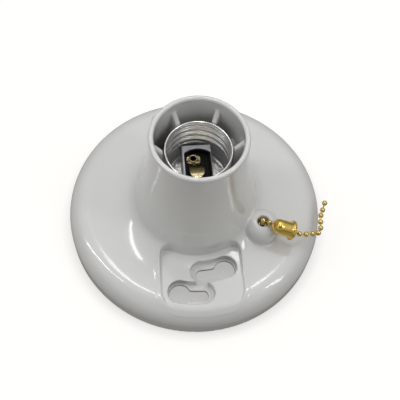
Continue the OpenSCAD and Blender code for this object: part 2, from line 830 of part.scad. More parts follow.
module inner_chain() {
  color("goldenrod") translate([boss_at[0], boss_at[1], 0]) {
    translate([0, 0, hole_bead_z]) face(first_yaw, 0) hollow_bead("half slot");
    for (k = [1, 2, 3, 4, 6]) translate([0, 0, hole_bead_z - k * bead_pitch]) sphere(r = bead_r);
    translate([0, 0, end_bead_z])
      cylinder(h = 6 * bead_pitch - bead_r + bead_shell / 2, r = wire_r, $fn = 24);
  }
}

module first_bead() {
  color("goldenrod")
    linked_bead(hole_bead, bead_one, first_yaw, first_pitch, link_yaw, 0, "slot");
}

module chain_bell() {
  t = 0.45;
  bore = 0.85;
  outside = concat([[1.25, 0]], bezier([1.25, 0], [2.4, 0.4], [bell_r, 1.5], [bell_r, 3.3], 6),
    [[bell_r, 7.3]], bezier([bell_r, 7.3], [bell_r, 8.2], [3.6, 8.6], [bell_flare_r, bell_len], 4));
  inside = [for (p = reversed(outside)) [max(p[0] - t, bore), max(p[1] + (p[1] < 4 ? t : 0), t)]];
  color("gold") translate(bell_start) face(bell_yaw, bell_pitch)
    rotate([0, 90, 0]) rotate_extrude() polygon(concat(outside, inside, [[bore, 0]]));
}

// Clamp inside the bell: holds the end of the first chain and the start of the loose tail
module bell_coupling() {
  neck = 1;
  grip = 1.6;
  grip_len = 4.4;
  tail_wire = bell_len - coupling_set - neck - grip_len + 0.5;
  color("goldenrod") {
    translate(bead_one) face(link_yaw, link_pitch) link(link_len);
    translate(bell_hook) sphere(r = wire_r + fit, $fn = 32);
    rod(bell_hook, bell_start + (neck + 0.5) * bell_axis, wire_r);
    translate(bell_start) face(bell_yaw, bell_pitch) rotate([0, 90, 0]) {
      translate([0, 0, neck]) cylinder(h = grip_len, r = grip);
      translate([0, 0, neck + 1]) cylinder(h = 0.6, r = grip + 0.5);
    }
    translate(coupling_bead) face(tail_yaw[0], tail_pitch[0]) hollow_bead("mouth");
    translate(coupling_bead - tail_wire * bell_axis) face(bell_yaw, bell_pitch)
      rotate([0, 90, 0])
        cylinder(h = tail_wire - bead_r + bead_shell / 2, r = wire_r, $fn = 24);
  }
}

module tail_bead(i) {
  last = 9;
  next = min(i + 1, last);
  color("goldenrod") linked_bead(tail_at(i - 1), tail_at(i), tail_yaw[i], tail_pitch[i],
    tail_yaw[next], tail_pitch[next], i < last ? "mouth" : "none");
}

canopy();
screw_shell();
socket_carrier();
shell_rivets();
contact_insulator();
contact_plate();
contact_tongue();
contact_eyelet();
carrier_screws();
switch_housing();
switch_cover();
switch_rivets();
switch_axle();
pull_lever();
drive_pawl();
ratchet_wheel();
contact_drum();
drum_bridge();
hold_pawl();
line_contact();
load_contact();
return_spring();
switch_screws();
back_plate();
back_plate_screws();
neutral_terminal();
line_terminal();
neutral_screw();
line_screw();
neutral_lead();
line_lead();
switched_lead();
chain_bushing();
inner_chain();
first_bead();
chain_bell();
bell_coupling();
tail_bead(0);  // tail_bead_01
tail_bead(1);  // tail_bead_02
tail_bead(2);  // tail_bead_03
tail_bead(3);  // tail_bead_04
tail_bead(4);  // tail_bead_05
tail_bead(5);  // tail_bead_06
tail_bead(6);  // tail_bead_07
tail_bead(7);  // tail_bead_08
tail_bead(8);  // tail_bead_09
tail_bead(9);  // tail_bead_10
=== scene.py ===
import json
import math

import bpy
import numpy as np
from mathutils import Matrix, Vector


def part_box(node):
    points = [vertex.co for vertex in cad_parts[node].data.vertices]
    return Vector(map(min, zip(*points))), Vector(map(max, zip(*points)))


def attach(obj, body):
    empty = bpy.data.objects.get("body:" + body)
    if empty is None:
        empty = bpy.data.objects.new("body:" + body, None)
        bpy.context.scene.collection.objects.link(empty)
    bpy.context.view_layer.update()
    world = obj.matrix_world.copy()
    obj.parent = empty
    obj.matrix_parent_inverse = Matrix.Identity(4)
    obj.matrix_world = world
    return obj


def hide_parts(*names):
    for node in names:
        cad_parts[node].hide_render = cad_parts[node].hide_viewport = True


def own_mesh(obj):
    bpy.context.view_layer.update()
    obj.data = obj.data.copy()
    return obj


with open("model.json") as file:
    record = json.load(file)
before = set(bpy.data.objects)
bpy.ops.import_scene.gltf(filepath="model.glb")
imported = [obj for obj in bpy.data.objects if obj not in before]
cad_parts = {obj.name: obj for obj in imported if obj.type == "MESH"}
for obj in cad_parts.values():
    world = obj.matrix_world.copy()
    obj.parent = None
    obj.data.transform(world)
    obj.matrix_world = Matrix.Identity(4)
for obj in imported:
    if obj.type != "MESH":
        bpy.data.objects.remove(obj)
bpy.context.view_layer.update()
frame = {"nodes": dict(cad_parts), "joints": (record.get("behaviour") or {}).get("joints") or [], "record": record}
MM = 0.001
JOINTS = {j["name"]: j for j in frame["joints"]}
NODES = frame["nodes"]


def node_box(name):
    """Lowest and highest corner of a CAD node, in millimetres."""
    lo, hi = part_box(name)
    return np.array(lo) / MM, np.array(hi) / MM


def pivot(name):
    """Where a hinge turns, in millimetres."""
    return np.array(JOINTS[name]["pos_m"]) / MM


# ---------------------------------------------------------------- distance fields


def smax(a, b, r):
    """Rounded intersection of two solids given as distances: the edge gets radius r."""
    if r <= 0:
        return np.maximum(a, b)
    return np.minimum(np.maximum(a, b), -r) + np.hypot(np.maximum(a + r, 0), np.maximum(b + r, 0))


def smin(a, b, r):
    """Union of two solids with a fillet of radius r."""
    return -smax(-a, -b, r)


def cut(a, b, r):
    """Solid a without solid b; the edge gets radius r."""
    return smax(a, -b, r)


def between(v, low, high):
    return np.abs(v - (low + high) / 2) - (high - low) / 2


def capsule2(x, y, half_y, r):
    """Plan of a slot along y with round ends."""
    return np.hypot(x, np.maximum(np.abs(y) - half_y, 0)) - r


def arc_points(c, r, a0, a1, n):
    t = np.radians(np.linspace(a0, a1, n))
    return np.stack([c[0] + r * np.cos(t), c[1] + r * np.sin(t)], 1)


def bezier(a, b, c, d, n):
    t = np.linspace(0, 1, n)[:, None]
    s = 1 - t
    a, b, c, d = (np.array(p, float) for p in (a, b, c, d))
    return s**3 * a + 3 * s * s * t * b + 3 * s * t * t * c + t**3 * d


class Profile:
    """Signed distance to a closed outline in the (radius, height) plane, kept on a fine grid."""

    def __init__(self, outline, step=0.2, margin=4.0):
        p = np.array(outline, float)
        q = np.roll(p, -1, 0)
        keep = np.hypot(*(q - p).T) > 1e-9
        p, q = p[keep], q[keep]
        self.lo = p.min(0) - margin
        self.step = step
        shape = np.ceil((p.max(0) + margin - self.lo) / step).astype(int) + 1
        gr, gz = np.meshgrid(*(self.lo[i] + step * np.arange(shape[i]) for i in (0, 1)), indexing="ij")
        gr, gz = gr.ravel(), gz.ravel()
        near = np.full(gr.shape, 1e18)
        inside = np.zeros(gr.shape, bool)
        for (ar, az), (br, bz) in zip(p, q):
            dr, dz = br - ar, bz - az
            t = np.clip(((gr - ar) * dr + (gz - az) * dz) / (dr * dr + dz * dz), 0, 1)
            near = np.minimum(near, (gr - ar - t * dr) ** 2 + (gz - az - t * dz) ** 2)
            if az != bz:
                crosses = ((az > gz) != (bz > gz)) & (gr < ar + dr * (gz - az) / dz)
                inside ^= crosses
        d = np.sqrt(near) * np.where(inside, -1, 1)
        self.table = d.reshape(shape).astype(np.float32)

    def __call__(self, r, z):
        n = self.table.shape
        fr = np.clip((r - self.lo[0]) / self.step, 1, n[0] - 3)
        fz = np.clip((z - self.lo[1]) / self.step, 1, n[1] - 3)
        i, k = np.floor(fr).astype(int), np.floor(fz).astype(int)
        u, w = fr - i, fz - k
        if np.ndim(r) > 1:  # a whole grid: straight lines between the table's points do
            t = self.table
            return (t[i, k] * (1 - u) + t[i + 1, k] * u) * (1 - w) + (t[i, k + 1] * (1 - u) + t[i + 1, k + 1] * u) * w
        out = 0.0
        for a, wa in enumerate(catmull(u)):
            out = out + wa * sum(wb * self.table[i + a - 1, k + b - 1] for b, wb in enumerate(catmull(w)))
        return out


def catmull(t):
    return (
        0.5 * (-t + 2 * t**2 - t**3),
        0.5 * (2 - 5 * t**2 + 3 * t**3),
        0.5 * (t + 4 * t**2 - 3 * t**3),
        0.5 * (-(t**2) + t**3),
    )


CORNERS = np.array([[i, j, k] for i in (0, 1) for j in (0, 1) for k in (0, 1)])
EDGES = [(a, b) for a in range(8) for b in range(a + 1, 8) if np.abs(CORNERS[a] - CORNERS[b]).sum() == 1]


def surface(field, lo, hi, cell):
    """Quads over the surface where field is zero: a vertex in each grid cell the surface crosses, then moved onto it.
    Returns vertices, quads and the field's own normals."""
    lo, hi = np.array(lo, float), np.array(hi, float)
    n = np.ceil((hi - lo) / cell).astype(int) + 1
    axes = [lo[a] + cell * np.arange(n[a]) for a in range(3)]
    grid = np.empty(n, np.float32)
    x, y = axes[0][:, None, None], axes[1][None, :, None]
    for k in range(0, n[2], 16):
        z = axes[2][None, None, k : k + 16]
        grid[:, :, k : k + 16] = field(x, y, z)
    inside = grid < 0
    count = sum(
        inside[i : n[0] - 1 + i, j : n[1] - 1 + j, k : n[2] - 1 + k].astype(np.int8) for i, j, k in CORNERS
    )
    cells = np.argwhere((count > 0) & (count < 8))
    values = np.stack([grid[tuple((cells + c).T)] for c in CORNERS], 1).astype(float)
    total, hits = np.zeros((len(cells), 3)), np.zeros(len(cells))
    for a, b in EDGES:
        va, vb = values[:, a], values[:, b]
        crossing = (va < 0) != (vb < 0)
        t = np.where(crossing, va / np.where(crossing, va - vb, 1), 0)[:, None]
        total += np.where(crossing[:, None], CORNERS[a] + t * (CORNERS[b] - CORNERS[a]), 0)
        hits += crossing
    points = lo + cell * (cells + total / hits[:, None])
    ids = np.full(n - 1, -1, np.int32)
    ids[tuple(cells.T)] = np.arange(len(cells))
    quads = []
    for a in range(3):
        b, c = (a + 1) % 3, (a + 2) % 3
        step = np.eye(3, dtype=int)
        first = np.moveaxis(inside, a, 0)[:-1]
        second = np.moveaxis(inside, a, 0)[1:]
        edge = np.moveaxis(first != second, 0, a)
        at = np.argwhere(edge)
        at = at[(at[:, b] > 0) & (at[:, c] > 0) & (at[:, b] < n[b] - 1) & (at[:, c] < n[c] - 1)]
        around = [at - step[b] - step[c], at - step[c], at, at - step[b]]
        q = np.stack([ids[tuple(p.T)] for p in around], 1)
        outward = inside[tuple(at.T)]
        q[~outward] = q[~outward][:, ::-1]
        quads.append(q)
    quads = np.concatenate(quads)
    for _ in range(4):
        f, g = field_and_slope(field, points, 0.05)
        move = f[:, None] * g / np.maximum((g * g).sum(1), 1e-6)[:, None]
        size = np.linalg.norm(move, axis=1)
        move *= np.minimum(1, 0.5 * cell / np.maximum(size, 1e-9))[:, None]
        points = points - move
    _, g = field_and_slope(field, points, 0.1)
    normals = g / np.maximum(np.linalg.norm(g, axis=1), 1e-9)[:, None]
    return points, quads, normals


def field_and_slope(field, p, d):
    x, y, z = p.T
    f = field(x, y, z)
    g = np.stack(
        [
            field(x + d, y, z) - field(x - d, y, z),
            field(x, y + d, z) - field(x, y - d, z),
            field(x, y, z + d) - field(x, y, z - d),
        ],
        1,
    ) / (2 * d)
    return f, g


# ---------------------------------------------------------------- pieces


def add_mesh(name, points, faces, normals=None, sharp=None):
    """A new mesh object from points in millimetres. faces is an array of quads or a list of polygons."""
    mesh = bpy.data.meshes.new(name)
    if isinstance(faces, np.ndarray):
        mesh.vertices.add(len(points))
        mesh.vertices.foreach_set("co", (np.asarray(points) * MM).astype(np.float32).ravel())
        width = faces.shape[1]
        mesh.loops.add(faces.size)
        mesh.loops.foreach_set("vertex_index", faces.astype(np.int32).ravel())
        mesh.polygons.add(len(faces))
        mesh.polygons.foreach_set("loop_start", np.arange(0, faces.size, width, dtype=np.int32))
    else:
        mesh.from_pydata([tuple(np.array(p) * MM) for p in points], [], faces)
    mesh.update(calc_edges=True)
    mesh.validate()
    mesh.polygons.foreach_set("use_smooth", np.ones(len(mesh.polygons), bool))
    if normals is not None:
        mesh.normals_split_custom_set_from_vertices(normals.astype(np.float32))
    if sharp is not None:
        mesh.set_sharp_from_angle(angle=math.radians(sharp))
    obj = bpy.data.objects.new(name, mesh)
    bpy.context.scene.collection.objects.link(obj)
    return obj


def piece(obj, body, slot, *nodes):
    """The new object stands for these CAD nodes, rides on a body and takes a finish."""
    obj.data.materials.clear()
    obj.data.materials.append(FINISH[slot])
    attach(obj, body)
    if nodes:
        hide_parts(*nodes)
    return obj


def field_piece(name, field, lo, hi, cell, body, slot, *nodes):
    return piece(add_mesh(name, *surface(field, lo, hi, cell)), body, slot, *nodes)


def turned(outline, n=48, closed=True):
    """Points and quads of an outline of (radius, height) turned about Z. A radius of 0 closes to a pole."""
    outline = [tuple(p) for p in outline]
    points, rings = [], []
    for r, z in outline:
        if r < 1e-6:
            rings.append([len(points)] * n)
            points.append((0.0, 0.0, z))
        else:
            rings.append(list(range(len(points), len(points) + n)))
            points += [(r * math.cos(2 * math.pi * i / n), r * math.sin(2 * math.pi * i / n), z) for i in range(n)]
    faces = []
    pairs = list(zip(rings, rings[1:])) + ([(rings[-1], rings[0])] if closed else [])
    for low, high in pairs:
        for i in range(n):
            j = (i + 1) % n
            f = [low[i], low[j], high[j], high[i]]
            f = [v for k, v in enumerate(f) if v != f[k - 1]]
            if len(set(f)) > 2:
                faces.append(f)
    return np.array(points, float), faces


def rounded(outline, radius, n=4, loop=True):
    """An outline with its corners rounded. radius is one number, or one for each corner."""
    p = [np.array(q, float) for q in outline]
    out = []
    for i, c in enumerate(p):
        r = radius[i] if isinstance(radius, (list, tuple)) else radius
        if r <= 0 or (not loop and i in (0, len(p) - 1)):
            out.append(tuple(c))
            continue
        a, b = p[i - 1] - c, p[(i + 1) % len(p)] - c
        la, lb = np.linalg.norm(a), np.linalg.norm(b)
        r = min(r, la / 2.01, lb / 2.01)
        for t in np.linspace(0, 1, n + 1):
            q = (1 - t) ** 2 * (c + a / la * r) + 2 * t * (1 - t) * c + t * t * (c + b / lb * r)
            out.append(tuple(q))
    return out


def toward(direction, at=(0, 0, 0)):
    """Turns +Z to a direction and moves the origin to a point."""
    d = Vector(direction).normalized()
    return Matrix.Translation(Vector(at)) @ d.to_track_quat("Z", "Y").to_matrix().to_4x4()


def placed(points, matrix):
    m = np.array(matrix)
    return points @ m[:3, :3].T + m[:3, 3]


def joined(*parts):
    """Several (points, faces) as one."""
    points, faces, base = [], [], 0
    for p, f in parts:
        points.append(p)
        faces += [[v + base for v in face] for face in f]
        base += len(p)
    return np.concatenate(points), faces


def swept(path, r, n=16):
    """A round wire along a path of points, with round ends."""
    path = np.array(path, float)
    tangent = np.gradient(path, axis=0)
    tangent /= np.linalg.norm(tangent, axis=1)[:, None]
    side = np.cross(tangent[0], (0.31, 0.62, 0.72))
    points, rings = [], []
    caps = [(-1, t) for t in (0.98, 0.8, 0.45)] + [(0, 0.0)] * len(path) + [(1, t) for t in (0.45, 0.8, 0.98)]
    k = 0
    for sign, t in caps:
        at = 0 if sign < 0 else (len(path) - 1 if sign > 0 else k)
        k += sign == 0
        side = side - tangent[at] * (side @ tangent[at])
        side /= np.linalg.norm(side)
        up = np.cross(tangent[at], side)
        centre = path[at] + sign * r * t * tangent[at]
        radius = r * math.sqrt(1 - t * t)
        rings.append(len(points))
        points += [centre + radius * (math.cos(a) * side + math.sin(a) * up) for a in np.arange(n) * 2 * math.pi / n]
    faces = [
        [a + i, a + (i + 1) % n, b + (i + 1) % n, b + i] for a, b in zip(rings, rings[1:]) for i in range(n)
    ]
    faces.append([rings[0] + i for i in range(n)][::-1])
    faces.append([rings[-1] + i for i in range(n)])
    return np.array(points), faces


def bent(points, bend, n=8):
    """A path with each corner rounded by a bend of the given size."""
    p = [np.array(q, float) for q in points]
    out = [p[0]]
    for a, c, b in zip(p, p[1:], p[2:]):
        u, v = (a - c) / np.linalg.norm(a - c), (b - c) / np.linalg.norm(b - c)
        for t in np.linspace(0, 1, n + 1):
            out.append((1 - t) ** 2 * (c + u * bend) + 2 * t * (1 - t) * c + t * t * (c + v * bend))
    out.append(p[-1])
    return out


def drawn_out(path, step=0.6):
    """The path with points at most step apart."""
    out = [np.array(path[0], float)]
    for a, b in zip(path, path[1:]):
        a, b = np.array(a, float), np.array(b, float)
        n = max(1, int(np.linalg.norm(b - a) / step))
        out += [a + (b - a) * i / n for i in range(1, n + 1)]
    return out


# ---------------------------------------------------------------- finishes


def add_node(tree, kind, **values):
    node = tree.nodes.new(kind)
    for key, value in values.items():
        if key in node.inputs:
            node.inputs[key].default_value = value
        else:
            setattr(node, key, value)
    return node


def noise(tree, where, scale, detail=4.0, rough=0.55):
    n = add_node(tree, "ShaderNodeTexNoise")
    n.inputs["Scale"].default_value = scale
    n.inputs["Detail"].default_value = detail
    n.inputs["Roughness"].default_value = rough
    tree.links.new(where, n.inputs["Vector"])
    return n.outputs["Fac"]


def ranged(tree, value, a, b, low, high):
    n = add_node(tree, "ShaderNodeMapRange")
    tree.links.new(value, n.inputs["Value"])
    for key, v in (("From Min", a), ("From Max", b), ("To Min", low), ("To Max", high)):
        n.inputs[key].default_value = v
    return n.outputs["Result"]


def mixed(tree, share, a, b):
    n = add_node(tree, "ShaderNodeMix", data_type="RGBA")
    for socket, v in ((n.inputs[0], share), (n.inputs[6], a), (n.inputs[7], b)):
        if isinstance(v, (tuple, list)):
            socket.default_value = (*v, 1)
        elif isinstance(v, float):
            socket.default_value = v
        else:
            tree.links.new(v, socket)
    return n.outputs[2]


def finish(
    name,
    colour,
    rough,
    metal=0.0,
    tint=None,
    patch=250.0,
    grain=6000.0,
    bump=0.04,
    stretch=(1, 1, 1),
    rough_range=0.25,
    edge=None,
    speck=None,
    coat=0.0,
    spec=0.5,
    waves=0.0,
):
    """A procedural material: colour in patches, grain in the relief, uneven polish, worn edges and specks."""
    material = bpy.data.materials.new(name)
    material.use_nodes = True
    material.diffuse_color = (*colour, 1)
    tree = material.node_tree
    shader = tree.nodes["Principled BSDF"]
    where = add_node(tree, "ShaderNodeTexCoord").outputs["Object"]
    mapping = add_node(tree, "ShaderNodeMapping")
    mapping.inputs["Scale"].default_value = stretch
    tree.links.new(where, mapping.inputs["Vector"])
    along = mapping.outputs["Vector"]
    other = tint or tuple(c * 0.88 for c in colour)
    patches = ranged(tree, noise(tree, where, patch), 0.35, 0.65, 0.0, 1.0)
    shade = mixed(tree, patches, colour, other)
    if speck:
        dots = ranged(tree, noise(tree, along, speck[1], 2.0), speck[2], speck[2] + 0.06, 0.0, 0.8)
        shade = mixed(tree, dots, shade, speck[0])
    if edge:
        bend = add_node(tree, "ShaderNodeNewGeometry").outputs["Pointiness"]
        worn = ranged(tree, bend, 0.52, 0.6, 0.0, 0.7)
        shade = mixed(tree, worn, shade, edge)
    tree.links.new(shade, shader.inputs["Base Color"])
    smears = noise(tree, along, patch * 3, 5.0)
    tree.links.new(
        ranged(tree, smears, 0.3, 0.7, rough * (1 - rough_range), min(1.0, rough * (1 + rough_range))),
        shader.inputs["Roughness"],
    )
    relief = add_node(tree, "ShaderNodeBump")
    relief.inputs["Strength"].default_value = bump
    relief.inputs["Distance"].default_value = 0.0001
    tree.links.new(noise(tree, along, grain, 3.0), relief.inputs["Height"])
    if waves > 0:
        swell = add_node(tree, "ShaderNodeBump")
        swell.inputs["Strength"].default_value = waves
        swell.inputs["Distance"].default_value = 0.0004
        tree.links.new(noise(tree, where, 90.0, 2.0), swell.inputs["Height"])
        tree.links.new(swell.outputs["Normal"], relief.inputs["Normal"])
    tree.links.new(relief.outputs["Normal"], shader.inputs["Normal"])
    shader.inputs["Metallic"].default_value = metal
    shader.inputs["Coat Weight"].default_value = coat
    shader.inputs["Coat Roughness"].default_value = 0.04
    shader.inputs["Specular IOR Level"].default_value = spec
    return material


FINISH = {
    "white_urea": finish(
        "white_urea", (0.73, 0.73, 0.71), 0.13, tint=(0.715, 0.715, 0.70), patch=60.0, grain=9000.0,
        bump=0.015, coat=0.5, waves=0.035, rough_range=0.15, spec=0.5,
    ),
    "shell_aluminium": finish(
        "shell_aluminium", (0.84, 0.835, 0.82), 0.19, metal=1.0, tint=(0.82, 0.815, 0.8), patch=160.0, grain=3000.0,
        bump=0.012, stretch=(1, 1, 6), rough_range=0.25,
    ),
    "carrier_white": finish(
        "carrier_white", (0.6, 0.6, 0.63), 0.4, tint=(0.55, 0.55, 0.58), grain=7000.0, bump=0.12, patch=400.0,
        speck=((0.4, 0.4, 0.42), 2500.0, 0.68),
    ),
    "rivet_aluminium": finish(
        "rivet_aluminium", (0.78, 0.78, 0.77), 0.3, metal=1.0, patch=900.0, grain=9000.0, bump=0.12,
    ),
    "black_phenolic": finish(
        "black_phenolic", (0.003, 0.003, 0.0035), 0.45, tint=(0.005, 0.0045, 0.0045), patch=600.0, bump=0.08, spec=0.1,
    ),
    "contact_brass": finish(
        "contact_brass", (0.4, 0.34, 0.2), 0.24, metal=1.0, tint=(0.3, 0.25, 0.13), patch=450.0, bump=0.08,
        stretch=(1, 8, 1), speck=((0.28, 0.24, 0.16), 1800.0, 0.66),
    ),
    "plated_steel": finish(
        "plated_steel", (0.62, 0.63, 0.64), 0.3, metal=1.0, tint=(0.55, 0.56, 0.52), patch=500.0, bump=0.12,
        edge=(0.75, 0.75, 0.75),
    ),
    "spring_steel": finish(
        "spring_steel", (0.5, 0.5, 0.5), 0.28, metal=1.0, tint=(0.42, 0.42, 0.43), patch=800.0, bump=0.1,
        stretch=(6, 1, 1),
    ),
    "switch_phenolic": finish(
        "switch_phenolic", (0.03, 0.029, 0.028), 0.42, tint=(0.045, 0.042, 0.04), patch=350.0, bump=0.15,
        edge=(0.09, 0.085, 0.08), speck=((0.08, 0.075, 0.07), 3000.0, 0.7),
    ),
    "brown_phenolic": finish(
        "brown_phenolic", (0.2, 0.09, 0.045), 0.38, tint=(0.14, 0.06, 0.03), patch=500.0, bump=0.12,
        edge=(0.3, 0.16, 0.09),
    ),
    "vulcanised_fibre": finish(
        "vulcanised_fibre", (0.16, 0.13, 0.11), 0.62, tint=(0.11, 0.09, 0.08), patch=300.0, grain=3000.0, bump=0.35,
        stretch=(1, 5, 1), speck=((0.26, 0.22, 0.18), 2200.0, 0.64), edge=(0.3, 0.26, 0.22),
    ),
    "white_insulation": finish("white_insulation", (0.78, 0.77, 0.73), 0.45, patch=500.0, bump=0.15),
    "black_insulation": finish("black_insulation", (0.02, 0.02, 0.022), 0.42, patch=500.0, bump=0.15),
    "red_insulation": finish("red_insulation", (0.5, 0.03, 0.025), 0.42, patch=500.0, bump=0.15),
    "dark_brass": finish(
        "dark_brass", (0.13, 0.08, 0.035), 0.4, metal=1.0, tint=(0.08, 0.05, 0.02), patch=700.0, bump=0.12,
    ),
    "chain_brass": finish(
        "chain_brass", (0.86, 0.66, 0.24), 0.13, metal=1.0, tint=(0.76, 0.55, 0.17), patch=900.0, grain=12000.0,
        bump=0.04,
    ),
    "bell_brass": finish(
        "bell_brass", (0.84, 0.61, 0.17), 0.06, metal=1.0, tint=(0.76, 0.53, 0.12), patch=260.0, grain=9000.0,
        bump=0.025, stretch=(8, 1, 1), rough_range=0.4,
    ),
}

# ---------------------------------------------------------------- canopy

canopy_lo, canopy_hi = node_box("canopy")
BASE_R = (canopy_hi[0] - canopy_lo[0]) / 2
TOP = canopy_hi[2]
WALL = 2.4
CREST = 14.5
SHOULDER_R = 8.5
FLARE_TOP, NECK_FOOT, CAVITY_FOOT = 21.5, 27.2, 24.8
RIM_R, BORE_R = 20.0, 17.85
RIM_ROUND = (RIM_R - BORE_R) / 2
RIM_Z = TOP - RIM_ROUND
PAD_Z, PAD_HALF, PAD_IN, PAD_OUT, PAD_CORNER = 14.0, 17.6, 27.3, 52.5, 6.0
CUP_WALL, CUP_DEPTH, LEDGE = 1.8, 4.0, 1.8
SLOT_HALF, HEAD_R, COUNTER_R, POCKET_R = 2.3, 4.6, 5.0, 5.0
KEYS = ((44.45, 0.0, -12.9), (34.925, 0.0, 17.0))
BOSS_XY = pivot("first_link")[:2]
BOSS_AZ = math.atan2(BOSS_XY[1], BOSS_XY[0])
BOSS_TOP, BOSS_ROUND, BOSS_LIP = 24.0, 4.0, 0.9
shell_lo, shell_hi = node_box("screw_shell")
RIB_IN, RIB_LOW = 14.25, 34.6


def neck_line(top_r, foot_r, n=60):
    t = np.linspace(1, 0, n)
    return np.stack([top_r + (foot_r - top_r) * t * t, RIM_Z - (RIM_Z - FLARE_TOP) * t], 1)


outer_line = np.concatenate(
    [
        [[BASE_R, -3]],
        arc_points((BASE_R - SHOULDER_R, CREST - SHOULDER_R), SHOULDER_R, 0, 90, 90),
        bezier((BASE_R - SHOULDER_R, CREST), (42, CREST - 0.45), (28.9, 16.2), (NECK_FOOT, FLARE_TOP), 110)[1:],
        neck_line(RIM_R, NECK_FOOT)[1:],
    ]
)
inner_line = np.concatenate(
    [
        [[BASE_R - WALL, -3]],
        arc_points((BASE_R - SHOULDER_R, CREST - SHOULDER_R), SHOULDER_R - WALL, 0, 90, 60),
        bezier(
            (BASE_R - SHOULDER_R, CREST - WALL), (41, CREST - WALL - 0.35), (26.8, 15), (CAVITY_FOOT, FLARE_TOP), 90
        )[1:],
        neck_line(BORE_R, CAVITY_FOOT)[1:],
    ]
)
rim_line = arc_points(((RIM_R + BORE_R) / 2, RIM_Z), RIM_ROUND, 0, 180, 40)[1:-1]
SKIN = Profile(np.concatenate([outer_line, rim_line, inner_line[::-1]]))
BODY = Profile(np.concatenate([outer_line, [[-6, RIM_Z], [-6, -3]]]))
CAVITY = Profile(np.concatenate([inner_line, [[-6, RIM_Z], [-6, -3]]]))


def arc_slot(r, angle, arc_r, a0, a1, half):
    """Plan of a slot along a circle about the socket axis, from angle a0 to a1 in degrees."""
    lo, hi = min(a0, a1), max(a0, a1)
    a = np.radians(np.clip(angle, lo, hi))
    x, y = r * np.cos(np.radians(angle)), r * np.sin(np.radians(angle))
    return np.hypot(x - arc_r * np.cos(a), y - arc_r * np.sin(a)) - half


def keyhole(r, angle, key, half, head):
    arc_r, seat, hole = key
    a = math.radians(-90 + hole)
    x, y = r * np.cos(np.radians(angle)), r * np.sin(np.radians(angle))
    round_end = np.hypot(x - arc_r * math.cos(a), y - arc_r * math.sin(a)) - head
    return smin(arc_slot(r, angle, arc_r, -90 + seat, -90 + hole, half), round_end, 0.5)


def keyholes(r, angle, half, head):
    return np.minimum(keyhole(r, angle, KEYS[0], half, head), keyhole(r, angle, KEYS[1], half, head))


def canopy_field(x, y, z):
    r = np.hypot(x, y)
    side = np.where(y > 0, -1.0, 1.0)
    u, v = x * side, y * side
    angle = np.degrees(np.arctan2(v, u))
    solid = BODY(r + 0 * z, z + 0 * r)
    f = SKIN(r + 0 * z, z + 0 * r)
    pad = smax(smax(np.abs(u) - PAD_HALF, r - PAD_OUT, PAD_CORNER), PAD_IN - r, PAD_CORNER)
    floor = smax(pad - WALL, PAD_Z - 2.2 - z, 0.5)
    f = smin(f, smax(solid, floor, 0.3), 0.4)
    cups = keyholes(r, angle, COUNTER_R + CUP_WALL, POCKET_R + CUP_WALL)
    f = smin(f, smax(cups, between(z, PAD_Z - CUP_DEPTH - LEDGE, PAD_Z - 1), 0.4), 0.4)
    f = cut(f, smax(pad, PAD_Z - z, 0.55), 0.5)
    f = cut(f, smax(keyholes(r, angle, COUNTER_R, POCKET_R), PAD_Z - CUP_DEPTH - z, 0.4), 0.3)
    f = cut(f, keyholes(r, angle, SLOT_HALF, HEAD_R), 0.25)
    rho = np.hypot(x - BOSS_XY[0], y - BOSS_XY[1])
    boss = smax(rho - 7.3 - 0.4 * (BOSS_TOP - z) / 15, z - BOSS_TOP, BOSS_ROUND)
    boss = np.maximum(smax(boss, 10 - z, 0.5), 1.0 - CAVITY(r + 0 * z, z + 0 * r))
    f = smin(f, boss, 1.2)
    f = cut(f, smax(rho - 5.2, z - BOSS_TOP + 3.2, 0.4), 0.3)
    f = cut(f, rho - 2.4 - 0.0 * z, 0.0)
    f = np.maximum(f, np.where((rho < 6) & (z > BOSS_TOP - 3), smax(z - BOSS_TOP, 2.4 - rho, BOSS_LIP), -9.0))
    fold = np.radians(60.0)
    phi = np.arctan2(y, x)
    phi = phi - fold * np.round(phi / fold)
    rx, ry = r * np.cos(phi), r * np.sin(phi)
    slope = ((rx - RIB_IN) * -4.3 + (z - shell_hi[2]) * 3.0) / 5.243
    rib = smax(smax(np.abs(ry) - 1.2, slope + 0.3, 1.0), RIB_IN - rx, 0.5)
    rib = np.maximum(np.maximum(rib, RIB_LOW - z), solid + 0.9)
    f = smin(f, rib, 0.5)
    for at, azimuth, low, high in ((17.3, 30, 34.6, 46.0), (21.0, 104, 4.3, 28.0)):
        a = math.radians(azimuth)
        d = np.minimum(
            np.hypot(x - at * math.cos(a), y - at * math.sin(a)), np.hypot(x + at * math.cos(a), y + at * math.sin(a))
        )
        f = smin(f, np.maximum(smax(d - 2.8, between(z, low, high), 0.3), solid + 0.9), 0.3)
        f = cut(f, smax(d - 1.35, between(z, low - 1, low + 8), 0.1), 0.1)
    return smax(f, -z, 0.3)


CANOPY_CELL = 0.5
field_piece(
    "canopy_moulding", canopy_field, (-59, -59, -1.2), (59, 59, TOP + 1.2), CANOPY_CELL, "fixture", "white_urea",
    "canopy",
)

# ---------------------------------------------------------------- screw shell

PITCH = 3.629
THREAD_IN, THREAD_OUT, SHEET = 12.45, 13.3, 0.5
FLOOR = shell_lo[2]
TOWER_X, TOWER_HALF_X, TOWER_HALF_Y = 0.2, 6.1, 10.8
RIVETS = ((-9.7, -0.5), (9.7, -0.5))


def steady(t):
    t = np.clip(t, 0, 1)
    return t * t * (3 - 2 * t)


